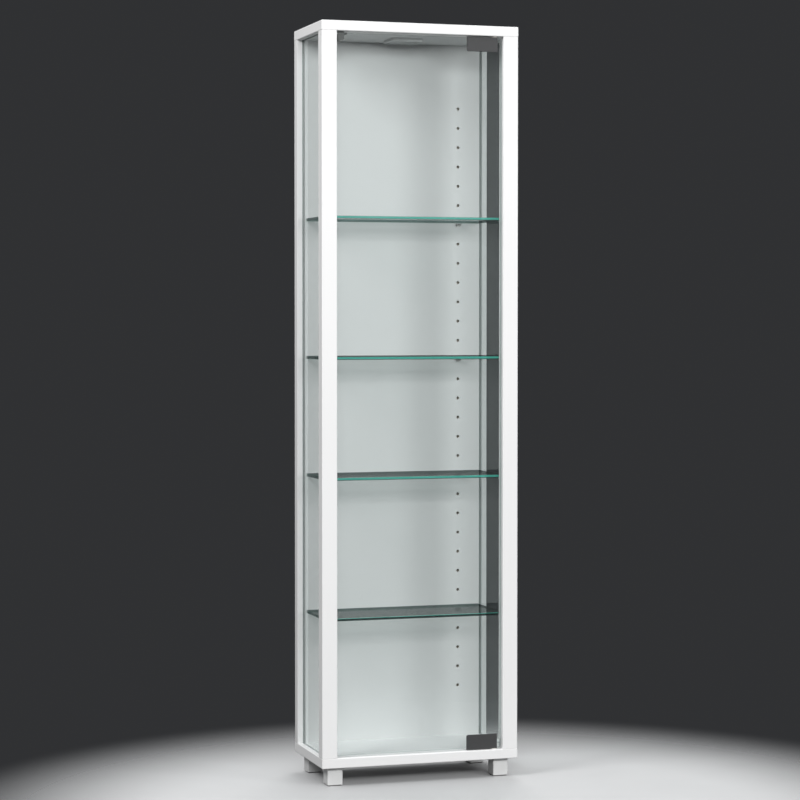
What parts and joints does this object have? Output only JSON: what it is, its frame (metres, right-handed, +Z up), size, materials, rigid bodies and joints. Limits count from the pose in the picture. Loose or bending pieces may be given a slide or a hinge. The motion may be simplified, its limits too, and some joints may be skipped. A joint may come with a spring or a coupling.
{
  "type": "glass display case",
  "caption": "Tall free-standing display case: white boards and posts, glass sides and shelves, inset glass door on corner clamp hinges, ceiling lamp.",
  "frame": {"origin": "middle of the footprint at floor level, under the feet", "axes": "+Z up; the door faces -Y; +X is the hinge side"},
  "size_m": [0.328, 0.165, 1.21],
  "materials": {
    "white_board": "satin white melamine facing",
    "side_glass": "clear polished",
    "door_glass": "clear polished",
    "shelf_glass": "clear with green polished edges",
    "pin_steel": "nickel plated",
    "clear_plastic": "clear soft plastic",
    "hinge_grey": "matt dark grey",
    "black_rubber": "matt",
    "nylon": "natural nylon",
    "screw_steel": "zinc plated",
    "nickel": "bright nickel",
    "dull_zinc": "dull zinc plated",
    "latch_plastic": "mid grey, fine texture",
    "white_plastic": "satin",
    "felt": "pressed felt",
    "beech": "raw beech",
    "lamp_shell": "satin white",
    "lamp_lens": "opal",
    "circuit_board": "white solder mask"
  },
  "bodies": {
    "case": {"bottom_panel": "white_board", "cable_grommet": "black_rubber", "foot_front_left": "white_plastic", "foot_front_right": "white_plastic", "foot_pads": "felt", "foot_rear_left": "white_plastic", "foot_rear_right": "white_plastic", "foot_screws": "screw_steel", "front_post_left": "white_board", "front_post_right": "white_board", "glass_shelf_1": "shelf_glass", "glass_shelf_2": "shelf_glass", "glass_shelf_3": "shelf_glass", "glass_shelf_4": "shelf_glass", "hinge_bush_bottom": "nylon", "hinge_bush_top": "nylon", "lamp_diffuser": "lamp_lens", "lamp_housing": "lamp_shell", "lamp_led_board": "circuit_board", "lamp_screws": "screw_steel", "latch_housing": "latch_plastic", "latch_screws": "screw_steel", "latch_spring": "screw_steel", "panel_screws": "screw_steel", "post_dowels": "beech", "rear_board": "white_board", "screw_caps": "white_plastic", "shelf_pads_1": "clear_plastic", "shelf_pads_2": "clear_plastic", "shelf_pads_3": "clear_plastic", "shelf_pads_4": "clear_plastic", "shelf_pins_1": "pin_steel", "shelf_pins_2": "pin_steel", "shelf_pins_3": "pin_steel", "shelf_pins_4": "pin_steel", "side_glass_left": "side_glass", "side_glass_right": "side_glass", "top_panel": "white_board"},
    "door": {"door_glass": "door_glass", "hinge_clamp_top": "hinge_grey", "hinge_clamp_bottom": "hinge_grey", "hinge_pads_top": "black_rubber", "hinge_pads_bottom": "black_rubber", "hinge_pin_top": "pin_steel", "hinge_pin_bottom": "pin_steel", "hinge_set_screws": "screw_steel", "strike_plate": "dull_zinc"},
    "latch_plunger": {"latch_plunger": "latch_plastic", "latch_magnet": "nickel"}
  },
  "joints": [
    {"name": "door_hinge", "type": "hinge", "parent": "case", "child": "door", "pos_m": [0.1255, -0.074, 0.62], "axis": [0, 0, 1], "range_deg": [0, 110]},
    {"name": "latch_push", "type": "slide", "parent": "case", "child": "latch_plunger", "axis": [0, 1, 0], "range_m": [0, 0.003], "stiffness_N_per_m": 400, "springref_m": -0.01, "deforming": ["latch_spring"]}
  ]
}
